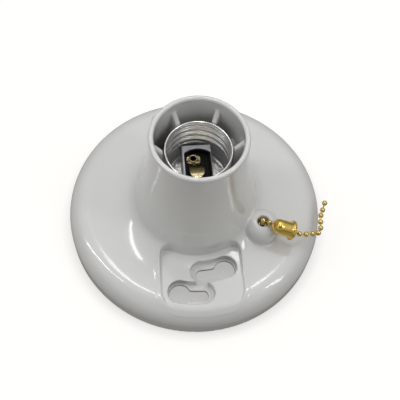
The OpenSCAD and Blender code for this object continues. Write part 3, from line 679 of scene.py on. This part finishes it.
def shell_field(x, y, z):
    r = np.hypot(x, y)
    turn = (z - 55.0) / PITCH - np.arctan2(y, x) / (2 * math.pi)
    swell = 0.5 - 0.5 * np.cos(2 * math.pi * turn)
    fade = steady((z - FLOOR - 1.2) / 3.0) * steady((shell_hi[2] - 0.9 - z) / 1.6)
    mid = THREAD_IN + 0.15 + SHEET / 2 + (THREAD_OUT - THREAD_IN) * swell * fade
    mid = mid + 0.75 * steady((z - 54.6) / 1.6)
    f = smax((np.abs(r - mid) * 0.88) - SHEET / 2, between(z, FLOOR + 0.2, shell_hi[2] - 0.5), 0.05)
    f = smin(f, np.hypot(r - 13.5, z - shell_hi[2] + 0.4) - 0.36, 0.2)
    floor = smax(r - THREAD_IN - 0.45, between(z, FLOOR, FLOOR + SHEET), 0.2)
    f = smin(f, floor, 0.7)
    hole = np.maximum(np.abs(x - TOWER_X) - TOWER_HALF_X - 0.15, np.abs(y) - TOWER_HALF_Y - 0.15)
    return cut(f, np.maximum(hole, z - FLOOR - 1.5), 0.08)


field_piece(
    "screw_shell_sheet", shell_field, (-14.6, -14.6, FLOOR - 0.5), (14.6, 14.6, shell_hi[2] + 0.5), 0.22, "fixture",
    "shell_aluminium", "screw_shell",
)

# ---------------------------------------------------------------- socket carrier and contacts

carrier_lo, carrier_hi = node_box("socket_carrier")
DISC_LOW, DISC_HIGH, DISC_R = 30.5, 34.5, 20.3
RECESS_X, RECESS_HALF, RECESS_R, RECESS_MID = 0.45, 5.6, 9.0, 0.2
insul_lo, insul_hi = node_box("contact_insulator")
INSUL_FLOOR, INSUL_WALL = 40.2, 0.7
PLATE_XY = (-1.3, 5.4)
EARS = ((14.0, 10.9), (9.9, -2.5))


def from_boss(u, v):
    """A point of the switch, u outward and v sideways, in the row frame."""
    return u * math.cos(BOSS_AZ) - v * math.sin(BOSS_AZ), u * math.sin(BOSS_AZ) + v * math.cos(BOSS_AZ)


def recess(x, y, inset):
    across = np.abs(x - RECESS_X) - RECESS_HALF + inset
    return smax(across, capsule2(x - RECESS_X, y, RECESS_MID, RECESS_R - inset), 0.25)


def carrier_field(x, y, z):
    r = np.hypot(x, y)
    f = smax(r - DISC_R, between(z, DISC_LOW, DISC_HIGH), 0.4)
    tower = smax(np.abs(x - TOWER_X) - TOWER_HALF_X, np.abs(y) - TOWER_HALF_Y, 0.35)
    f = smin(f, smax(tower, between(z, DISC_LOW + 0.5, carrier_hi[2]), 0.22), 0.3)
    for u, v in EARS:
        ex, ey = from_boss(u, v)
        d = np.hypot(x - ex, y - ey)
        f = smin(f, smax(d - 2.8, between(z, carrier_lo[2], DISC_LOW + 1), 0.3), 0.6)
        f = cut(f, smax(d - 1.35, between(z, carrier_lo[2] - 1, carrier_lo[2] + 8.9), 0.1), 0.1)
    f = cut(f, smax(recess(x, y, 0.0), insul_lo[2] - z, 0.2), 0.15)
    f = cut(f, np.hypot(x - PLATE_XY[0], y - PLATE_XY[1]) - 1.65, 0.1)
    for hx, hy in RIVETS:
        f = cut(f, np.hypot(x - hx, y - hy) - 1.05, 0.1)
    for s in (-1, 1):
        a = math.radians(30)
        f = cut(f, np.hypot(x - s * 17.3 * math.cos(a), y - s * 17.3 * math.sin(a)) - 1.6, 0.15)
    return f


field_piece(
    "socket_carrier_block", carrier_field, (-21, -21, carrier_lo[2] - 0.5), (21, 21, carrier_hi[2] + 0.5), 0.27,
    "fixture", "carrier_white", "socket_carrier",
)


def insulator_field(x, y, z):
    f = smax(recess(x, y, 0.05), between(z, insul_lo[2], insul_hi[2]), 0.12)
    f = cut(f, smax(recess(x, y, INSUL_WALL), INSUL_FLOOR - z, 0.25), 0.12)
    return cut(f, np.hypot(x - PLATE_XY[0], y - PLATE_XY[1]) - 1.65, 0.05)


field_piece(
    "contact_insulator_cup", insulator_field, (-6, -10, insul_lo[2] - 0.4), (6.6, 10, insul_hi[2] + 0.4), 0.16,
    "fixture", "black_phenolic", "contact_insulator",
)


def plate_field(x, y, z):
    px, py = x - PLATE_XY[0], y - PLATE_XY[1]
    plan = smax(np.abs(px) - 3.0, np.abs(py) - 2.15, 0.9)
    f = smax(plan, between(z, INSUL_FLOOR, INSUL_FLOOR + 0.5), 0.12)
    bump = np.sqrt((np.abs(px) - 2.15) ** 2 + (np.abs(py) - 1.3) ** 2 + (z - INSUL_FLOOR - 0.35) ** 2) - 0.5
    f = smin(f, np.maximum(bump, INSUL_FLOOR + 0.1 - z), 0.25)
    return cut(f, np.hypot(px, py) - 1.65, 0.05)


field_piece(
    "contact_plate_strip", plate_field, (-4.8, 2.7, INSUL_FLOOR - 0.3), (2.2, 8.1, INSUL_FLOOR + 1.3), 0.1, "fixture",
    "contact_brass", "contact_plate",
)

# the tongue: a strip that rises from its root to a crown over the socket axis, then dips
tongue_lo, tongue_hi = node_box("contact_tongue")
ROOT_Y, REACH, RISE = float(tongue_hi[1]), 8.2, 2.8
tongue_x = float(tongue_lo[0] + tongue_hi[0]) / 2
tongue_half = float(tongue_hi[0] - tongue_lo[0]) / 2


def tongue_mesh():
    t_half, rows, cols = 0.25, 44, 17
    t = np.linspace(0, 1, rows)
    mid = np.stack([ROOT_Y - REACH * t, 40.55 + RISE * np.sin(np.radians(115 * t**1.15))], 1)
    slope = np.gradient(mid, axis=0)
    slope /= np.linalg.norm(slope, axis=1)[:, None]
    normal = np.stack([slope[:, 1], -slope[:, 0]], 1)
    run = np.concatenate([[0], np.cumsum(np.linalg.norm(np.diff(mid, axis=0), axis=1))])
    left = run[-1] - run
    tip = np.sqrt(np.maximum(tongue_half**2 - (tongue_half - left) ** 2, 0.05))
    half = np.where(left < tongue_half, tip, tongue_half)
    points = []
    for face in (1, -1):
        for i in range(rows):
            for s in np.linspace(-1, 1, cols):
                y, z = mid[i] - normal[i] * face * t_half
                points.append((tongue_x + s * half[i], y, z))
    n = rows * cols
    faces = []
    for base, flip in ((0, False), (n, True)):
        for i in range(rows - 1):
            for j in range(cols - 1):
                a = base + i * cols + j
                f = [a, a + 1, a + cols + 1, a + cols]
                faces.append(f if flip else f[::-1])
    rim = [i * cols for i in range(rows)] + [(rows - 1) * cols + j for j in range(1, cols)]
    rim += [i * cols + cols - 1 for i in range(rows - 2, -1, -1)] + list(range(cols - 2, 0, -1))
    for a, b in zip(rim, rim[1:] + rim[:1]):
        faces.append([a, b, b + n, a + n])
    return np.array(points), faces


tongue = piece(
    add_mesh("contact_tongue_strip", *tongue_mesh(), sharp=60), "contact_spring", "contact_brass", "contact_tongue"
)
soften = tongue.modifiers.new("edges", "BEVEL")
soften.width, soften.segments, soften.limit_method, soften.angle_limit = 0.00012, 3, "ANGLE", math.radians(50)

eye_lo, eye_hi = node_box("contact_eyelet")
eyelet = turned(
    rounded(
        [
            (1.3, eye_lo[2]), (2.1, eye_lo[2]), (2.1, eye_lo[2] + 0.5), (1.6, eye_lo[2] + 0.5),
            (1.6, INSUL_FLOOR + 0.5), (1.95, INSUL_FLOOR + 0.5), (1.9, eye_hi[2]), (1.2, eye_hi[2] - 0.05),
        ],
        [0.1, 0.2, 0.2, 0.1, 0.05, 0.2, 0.35, 0.3],
        6,
    ),
    64,
)
piece(
    add_mesh("contact_eyelet_ring", placed(eyelet[0], Matrix.Translation((*PLATE_XY, 0))), eyelet[1], sharp=50),
    "fixture", "contact_brass", "contact_eyelet",
)

rivet_lo, rivet_hi = node_box("shell_rivets")
rivet_outline = rounded(
    [
        (0, rivet_lo[2]), (1.75, rivet_lo[2]), (1.75, rivet_lo[2] + 0.5), (1.0, rivet_lo[2] + 0.5),
        (1.0, FLOOR + SHEET), (1.8, FLOOR + SHEET), (1.3, rivet_hi[2]), (0, rivet_hi[2]),
    ],
    [0, 0.25, 0.2, 0.05, 0.05, 0.25, 0.6, 0],
    6,
    False,
)
rivets = [
    (placed(p, Matrix.Translation((x, y, 0))), f) for x, y in RIVETS for p, f in [turned(rivet_outline, 40, False)]
]
piece(add_mesh("shell_rivets_pair", *joined(*rivets), sharp=50), "fixture", "rivet_aluminium", "shell_rivets")

# ---------------------------------------------------------------- chain

bush_lo, bush_hi = node_box("chain_bushing")
TUBE_R, BUSH_BORE = 2.35, 1.55
bushing = turned(
    rounded(
        [
            (BUSH_BORE, bush_lo[2]), (TUBE_R + 1.2, bush_lo[2]), (TUBE_R + 1.2, bush_lo[2] + 0.88),
            (TUBE_R, bush_lo[2] + 0.88), (TUBE_R, bush_hi[2]), (BUSH_BORE, bush_hi[2]),
        ],
        [0.3, 0.25, 0.2, 0.05, 0.2, 0.3],
        6,
    ),
    64,
)
piece(
    add_mesh("chain_bushing_sleeve", placed(bushing[0], Matrix.Translation((*BOSS_XY, 0))), bushing[1], sharp=50),
    "fixture", "dark_brass", "chain_bushing",
)

BEAD_R, WIRE_R, BALL_R, MOUTH_R, SHELL_T = 1.2, 0.3, 0.6, 0.55, 0.22


def bead_shape(mouth, back=0.34):
    """A drawn hollow bead about +Z: rolled mouth, a raised seam at the equator and a neck behind."""
    inner = BEAD_R - SHELL_T
    a0 = math.degrees(math.asin(back / BEAD_R))
    a1 = 180 - math.degrees(math.asin(mouth / BEAD_R)) if mouth > 0 else 180.0
    out = []
    for a in np.linspace(a0, a1, 30):
        t = math.radians(a)
        r = BEAD_R * (1 - 0.012 * math.exp(-(((a - 90) / 3.5) ** 2)))
        out.append((r * math.sin(t), -r * math.cos(t)))
    if mouth <= 0:
        out[-1] = (0.0, BEAD_R)
        return turned([(0.0, -BEAD_R * 0.9)] + out, 32, False)
    b1 = 180 - math.degrees(math.asin(min(1.0, mouth / inner)))
    b0 = math.degrees(math.asin(back / inner))
    inside = [(inner * math.sin(math.radians(a)), -inner * math.cos(math.radians(a))) for a in np.linspace(b1, b0, 20)]
    return turned(out + inside, 32)


def link_shape(reach):
    """The headed wire between two beads: a ball at the origin and a wire along +Z."""
    head = [(BALL_R * math.sin(math.radians(a)), -BALL_R * math.cos(math.radians(a))) for a in np.linspace(0, 150, 16)]
    head[0] = (0.0, -BALL_R)
    return turned(head + [(WIRE_R, BALL_R + 0.05), (WIRE_R, reach), (0.0, reach + 0.1)], 24, False)


def moved(shape, matrix):
    return placed(shape[0], matrix), shape[1]


first = pivot("first_link")
second = pivot("bell_swing")
coupling = pivot("tail_01_bend")
tail = [pivot("tail_%02d_bend" % i) for i in range(1, 11)]
last_lo, last_hi = node_box("tail_bead_10")
# the end bead is found from its box: the box's far side, one bead radius in
end = np.array(
    [
        last_lo[0] + BEAD_R if last_lo[0] < tail[-1][0] - 1.21 else last_hi[0] - BEAD_R,
        last_hi[1] - BEAD_R,
        last_hi[2] - BEAD_R,
    ]
)
points_of_tail = tail + [end]
REACH_LINK = float(np.linalg.norm(second - first)) - BEAD_R + SHELL_T
BELL_YAW, BELL_PITCH = math.radians(-8), math.radians(-25)
bell_dir = np.array(
    [math.cos(BELL_PITCH) * math.cos(BELL_YAW), math.cos(BELL_PITCH) * math.sin(BELL_YAW), math.sin(BELL_PITCH)]
)
BELL_LEN, BELL_R, BELL_FLARE, BELL_SET, BELL_GAP = 8.9, 3.4, 4.3, 1.3, 0.5
bell_start = coupling - bell_dir * (BELL_LEN - BELL_SET)
bell_hook = bell_start - bell_dir * BELL_GAP

# inside the fixture: the bead at the hole, four beads on a straight wire and the end bead in the lever
hole_bead = moved(bead_shape(MOUTH_R), toward(second - first, first))
step = float(np.linalg.norm(second - first))
straight = [moved(bead_shape(0.0), toward((0, 0, 1), first - (0, 0, k * step))) for k in (1, 2, 3, 4, 6)]
wire_shape = turned([(0, 0), (WIRE_R, 0), (WIRE_R, 6 * step), (0, 6 * step)], 24, False)
wire_down = moved(wire_shape, toward((0, 0, 1), first - (0, 0, 6 * step)))
piece(
    add_mesh("inner_chain_beads", *joined(hole_bead, wire_down, *straight), sharp=40), "pull_chain", "chain_brass",
    "inner_chain",
)

piece(
    add_mesh(
        "first_bead_link",
        *joined(
            moved(bead_shape(MOUTH_R), toward(bell_hook - second, second)),
            moved(link_shape(REACH_LINK), toward(second - first, first)),
        ),
        sharp=40,
    ),
    "first_link", "chain_brass", "first_bead",
)

for i in range(10):
    at, to = points_of_tail[i], points_of_tail[i + 1]
    ahead = points_of_tail[i + 2] - to if i < 9 else to - at
    piece(
        add_mesh(
            "tail_bead_link_%02d" % (i + 1),
            *joined(
                moved(bead_shape(MOUTH_R if i < 9 else 0.0), toward(ahead, to)),
                moved(link_shape(REACH_LINK), toward(to - at, at)),
            ),
            sharp=40,
        ),
        "tail_%02d" % (i + 1), "chain_brass", "tail_bead_%02d" % (i + 1),
    )

# the bell: spun from thin sheet, with a rolled mouth
outside = np.concatenate(
    [
        bezier((1.15, 0.0), (2.5, 0.15), (BELL_R, 1.2), (BELL_R, 3.2), 22),
        bezier((BELL_R, 3.2), (BELL_R, 5.0), (BELL_R, 6.2), (BELL_R, 7.3), 8)[1:],
        bezier((BELL_R, 7.3), (BELL_R, 8.2), (3.6, 8.6), (BELL_FLARE, BELL_LEN - 0.15), 14)[1:],
        arc_points((BELL_FLARE - 0.17, BELL_LEN - 0.02), 0.2, -20, 150, 7),
    ]
)
inside = np.concatenate(
    [
        bezier((BELL_FLARE - 0.45, BELL_LEN - 0.25), (3.4, 8.5), (BELL_R - 0.3, 8.1), (BELL_R - 0.35, 7.2), 10)[1:],
        bezier((BELL_R - 0.35, 6.9), (BELL_R - 0.35, 6), (BELL_R - 0.35, 5), (BELL_R - 0.35, 3.3), 6),
        bezier((BELL_R - 0.35, 3.3), (BELL_R - 0.35, 1.6), (2.3, 0.5), (0.95, 0.4), 12)[1:],
    ]
)
bell = moved(turned(list(map(tuple, outside)) + list(map(tuple, inside)), 72), toward(bell_dir, bell_start))
piece(add_mesh("chain_bell_cup", *bell, sharp=60), "bell", "bell_brass", "chain_bell")

grip = turned(
    rounded(
        [(0, 1.0), (1.6, 1.0), (1.6, 2.0), (2.1, 2.0), (2.1, 2.6), (1.6, 2.6), (1.6, 5.4), (0, 5.4)],
        [0, 0.15, 0.1, 0.2, 0.2, 0.1, 0.3, 0],
        4,
        False,
    ),
    40,
    False,
)
hook_way = (bell_hook - second) / np.linalg.norm(bell_hook - second)
hook_wire = drawn_out(bent([second + 0.4 * hook_way, bell_hook, bell_start + 1.2 * bell_dir], 0.35), 0.15)
tail_wire = turned([(0, 0), (WIRE_R, 0), (WIRE_R, 1.8), (0, 1.8)], 24, False)
piece(
    add_mesh(
        "bell_coupling_clamp",
        *joined(
            moved(grip, toward(bell_dir, bell_start)),
            moved(link_shape(0.9), toward(hook_way, second)),
            swept(hook_wire, WIRE_R, 20),
            moved(bead_shape(MOUTH_R), toward(tail[1] - tail[0], coupling)),
            moved(tail_wire, toward(bell_dir, coupling - 2.7 * bell_dir)),
        ),
        sharp=40,
    ),
    "bell", "chain_brass", "bell_coupling",
)

# ---------------------------------------------------------------- return spring and leads

spring_lo, spring_hi = node_box("return_spring")
spring_xy = (spring_lo[:2] + spring_hi[:2]) / 2
wire = 0.2
turns = 7.5
coil = []
for t in np.linspace(0, 1, 260):
    flat = 0.9  # the end turns lie flat
    rise = np.clip((t * turns - flat) / (turns - 2 * flat), 0, 1)
    a = 2 * math.pi * turns * t
    coil.append(
        (
            spring_xy[0] + 1.5 * math.cos(a),
            spring_xy[1] + 1.5 * math.sin(a),
            spring_lo[2] + wire + (spring_hi[2] - spring_lo[2] - 2 * wire) * (0.04 * t + 0.96 * rise),
        )
    )
spring = piece(
    add_mesh("return_spring_coil", *swept(coil, wire, 12), sharp=60), "fixture", "spring_steel", "return_spring"
)
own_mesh(spring)


def centre_xy(node):
    lo, hi = node_box(node)
    return (lo[:2] + hi[:2]) / 2


LEAD_R = 0.9
neutral = centre_xy("neutral_lead")
neutral_box = node_box("neutral_lead")
neutral_line = drawn_out([(*neutral, neutral_box[0][2] + 0.3), (*neutral, neutral_box[1][2] - 0.4)], 1.0)
piece(
    add_mesh(
        "neutral_lead_wire",
        *swept(neutral_line, LEAD_R * 0.99, 20),
        sharp=60,
    ),
    "fixture", "white_insulation", "neutral_lead",
)

# ---------------------------------------------------------------- CAD nodes that keep their shape

for row in frame["record"]["subparts"]:
    node = NODES[row["node"]]
    if node.hide_render:
        continue
    node.data.materials.clear()
    node.data.materials.append(FINISH[row["material_slot"]])
    weld = node.modifiers.new("weld", "WELD")
    weld.merge_threshold = 0.000004
    round_edges = node.modifiers.new("edges", "BEVEL")
    round_edges.width, round_edges.segments = 0.00012, 2
    round_edges.limit_method, round_edges.angle_limit = "ANGLE", math.radians(40)
    round_edges.use_clamp_overlap = True
    even = node.modifiers.new("even", "WEIGHTED_NORMAL")
    even.keep_sharp = False

# ---------------------------------------------------------------- stage, light and camera


def stage_plane(name, z, size, material):
    mesh = bpy.data.meshes.new(name)
    mesh.from_pydata([(-size, -size, z), (size, -size, z), (size, size, z), (-size, size, z)], [], [(0, 1, 2, 3)])
    mesh.materials.append(material)
    obj = bpy.data.objects.new(name, mesh)
    bpy.context.scene.collection.objects.link(obj)
    return obj


# the second number is the floor's lower glow under the canopy, a painted shade
FLOOR_COLOUR, FLOOR_PAINTED_SHADE, FLOOR_GLOW = (0.4, 0.385, 0.35), 0.43, 0.7
floor_look = bpy.data.materials.new("stage_floor")
floor_look.use_nodes = True
floor_tree = floor_look.node_tree
floor_shader = floor_tree.nodes["Principled BSDF"]
floor_shader.inputs["Base Color"].default_value = (*FLOOR_COLOUR, 1)
floor_shader.inputs["Roughness"].default_value = 0.9
floor_shader.inputs["Specular IOR Level"].default_value = 0.0
floor_shader.inputs["Emission Color"].default_value = (1, 1, 1, 1)
# a paper sweep lit from below: bright to the eye, glowing less under the canopy as a painted shade, and little light
# from it on the part
spot = add_node(floor_tree, "ShaderNodeVectorMath", operation="LENGTH")
floor_tree.links.new(add_node(floor_tree, "ShaderNodeTexCoord").outputs["Object"], spot.inputs[0])
paper_glow_with_painted_shade = ranged(floor_tree, spot.outputs["Value"], 0.05, 0.062, FLOOR_PAINTED_SHADE, FLOOR_GLOW)
seen = add_node(floor_tree, "ShaderNodeLightPath").outputs["Is Camera Ray"]
shown = add_node(floor_tree, "ShaderNodeMath", operation="MULTIPLY")
floor_tree.links.new(paper_glow_with_painted_shade, shown.inputs[0])
floor_tree.links.new(seen, shown.inputs[1])
floor_tree.links.new(shown.outputs[0], floor_shader.inputs["Emission Strength"])
# from below the paper is clear, so that the underside can be seen
clear = add_node(floor_tree, "ShaderNodeBsdfTransparent")
either = add_node(floor_tree, "ShaderNodeMixShader")
floor_tree.links.new(add_node(floor_tree, "ShaderNodeNewGeometry").outputs["Backfacing"], either.inputs[0])
floor_tree.links.new(floor_shader.outputs[0], either.inputs[1])
floor_tree.links.new(clear.outputs[0], either.inputs[2])
floor_tree.links.new(either.outputs[0], floor_tree.nodes["Material Output"].inputs["Surface"])
stage_plane("stage_floor_plane", -0.0002, 3.0, floor_look)

SKY_LOW, SKY_HIGH, SKY_CAMERA = 0.17, 1.36, 0.24
CAMERA_WAY = (-0.067, -0.476, 0.877)
world = bpy.data.worlds.new("studio")
world.use_nodes = True
sky = world.node_tree
way = add_node(sky, "ShaderNodeTexCoord").outputs["Generated"]
height = add_node(sky, "ShaderNodeSeparateXYZ")
sky.links.new(way, height.inputs[0])
lift = add_node(sky, "ShaderNodeMath", operation="POWER", use_clamp=True)
sky.links.new(height.outputs["Z"], lift.inputs[0])
lift.inputs[1].default_value = 1.5
glow = ranged(sky, lift.outputs[0], 0.0, 1.0, SKY_LOW, SKY_HIGH)
# the room is darker where the camera stands
facing = add_node(sky, "ShaderNodeVectorMath", operation="DOT_PRODUCT")
sky.links.new(way, facing.inputs[0])
facing.inputs[1].default_value = CAMERA_WAY
shade = ranged(sky, facing.outputs["Value"], 0.75, 0.95, 1.0, SKY_CAMERA)
level = add_node(sky, "ShaderNodeMath", operation="MULTIPLY")
sky.links.new(glow, level.inputs[0])
sky.links.new(shade, level.inputs[1])
# to the eye the room is as pale as the paper
eye = add_node(sky, "ShaderNodeMath", operation="MAXIMUM")
sky.links.new(level.outputs[0], eye.inputs[0])
sky.links.new(add_node(sky, "ShaderNodeLightPath").outputs["Is Camera Ray"], eye.inputs[1])
sky.links.new(eye.outputs[0], sky.nodes["Background"].inputs["Strength"])
sky.nodes["Background"].inputs["Color"].default_value = (1, 1, 1, 1)
bpy.context.scene.world = world


def softbox(name, at, look_at, width, height, power, colour=(1, 1, 1)):
    light = bpy.data.lights.new(name, "AREA")
    light.shape = "RECTANGLE"
    light.size, light.size_y = width, height
    light.energy = power
    light.color = colour
    obj = bpy.data.objects.new(name, light)
    direction = Vector(look_at) - Vector(at)
    obj.location = at
    obj.rotation_mode = "QUATERNION"
    obj.rotation_quaternion = direction.to_track_quat("-Z", "Y")
    bpy.context.scene.collection.objects.link(obj)
    return obj


def strip(name, azimuth, elevation, width, height, radiance, distance=0.6):
    """A narrow softbox seen from the part in the given direction, in degrees."""
    a, e = math.radians(azimuth), math.radians(elevation)
    centre = Vector((0, 0, 0.02))
    at = centre + distance * Vector((math.cos(e) * math.cos(a), math.cos(e) * math.sin(a), math.sin(e)))
    softbox(name, at, centre, width, height, radiance * math.pi * width * height)


strip("strip_left", 170, 53, 0.03, 0.39, 11.0)
strip("strip_right", -25, 45, 0.04, 0.23, 9.0)
NECK_POWER, NECK_SOFT, NECK_CONE, NECK_BLEND, NECK_HEIGHT = 3.4, 0.03, math.radians(4.2), 0.35, 0.6
neck_lamp = bpy.data.lights.new("neck_lamp", "SPOT")
neck_lamp.energy, neck_lamp.shadow_soft_size = NECK_POWER, NECK_SOFT
neck_lamp.spot_size, neck_lamp.spot_blend = NECK_CONE, NECK_BLEND
neck_lamp_at = bpy.data.objects.new("neck_lamp", neck_lamp)
neck_lamp_at.location = (0, 0, NECK_HEIGHT)
bpy.context.scene.collection.objects.link(neck_lamp_at)
strip("strip_back", 84, 68, 0.18, 0.03, 8.0)

scene = bpy.context.scene
camera_data = bpy.data.cameras.new("photo_camera")
camera = bpy.data.objects.new("photo_camera", camera_data)
scene.collection.objects.link(camera)
azimuth, elevation, roll = math.radians(-8), math.radians(61.28), math.radians(3.95)
target = Vector((0, 0, 0.020))
back = Vector(
    (math.sin(azimuth) * math.cos(elevation), -math.cos(azimuth) * math.cos(elevation), math.sin(elevation))
)
right0 = (-back).cross(Vector((0, 0, 1))).normalized()
up0 = right0.cross(-back)
right = right0 * math.cos(roll) + up0 * math.sin(roll)
up = up0 * math.cos(roll) - right0 * math.sin(roll)
pose = Matrix((right, up, back)).transposed().to_4x4()
pose.translation = target + back * 0.300
camera.matrix_world = pose
camera_data.sensor_width = 36
camera_data.lens = 60.59
camera_data.shift_x = 0.01085
camera_data.shift_y = -0.01635
camera_data.clip_start = 0.01
scene.camera = camera
scene.view_settings.view_transform = "Standard"
scene.view_settings.look = "None"
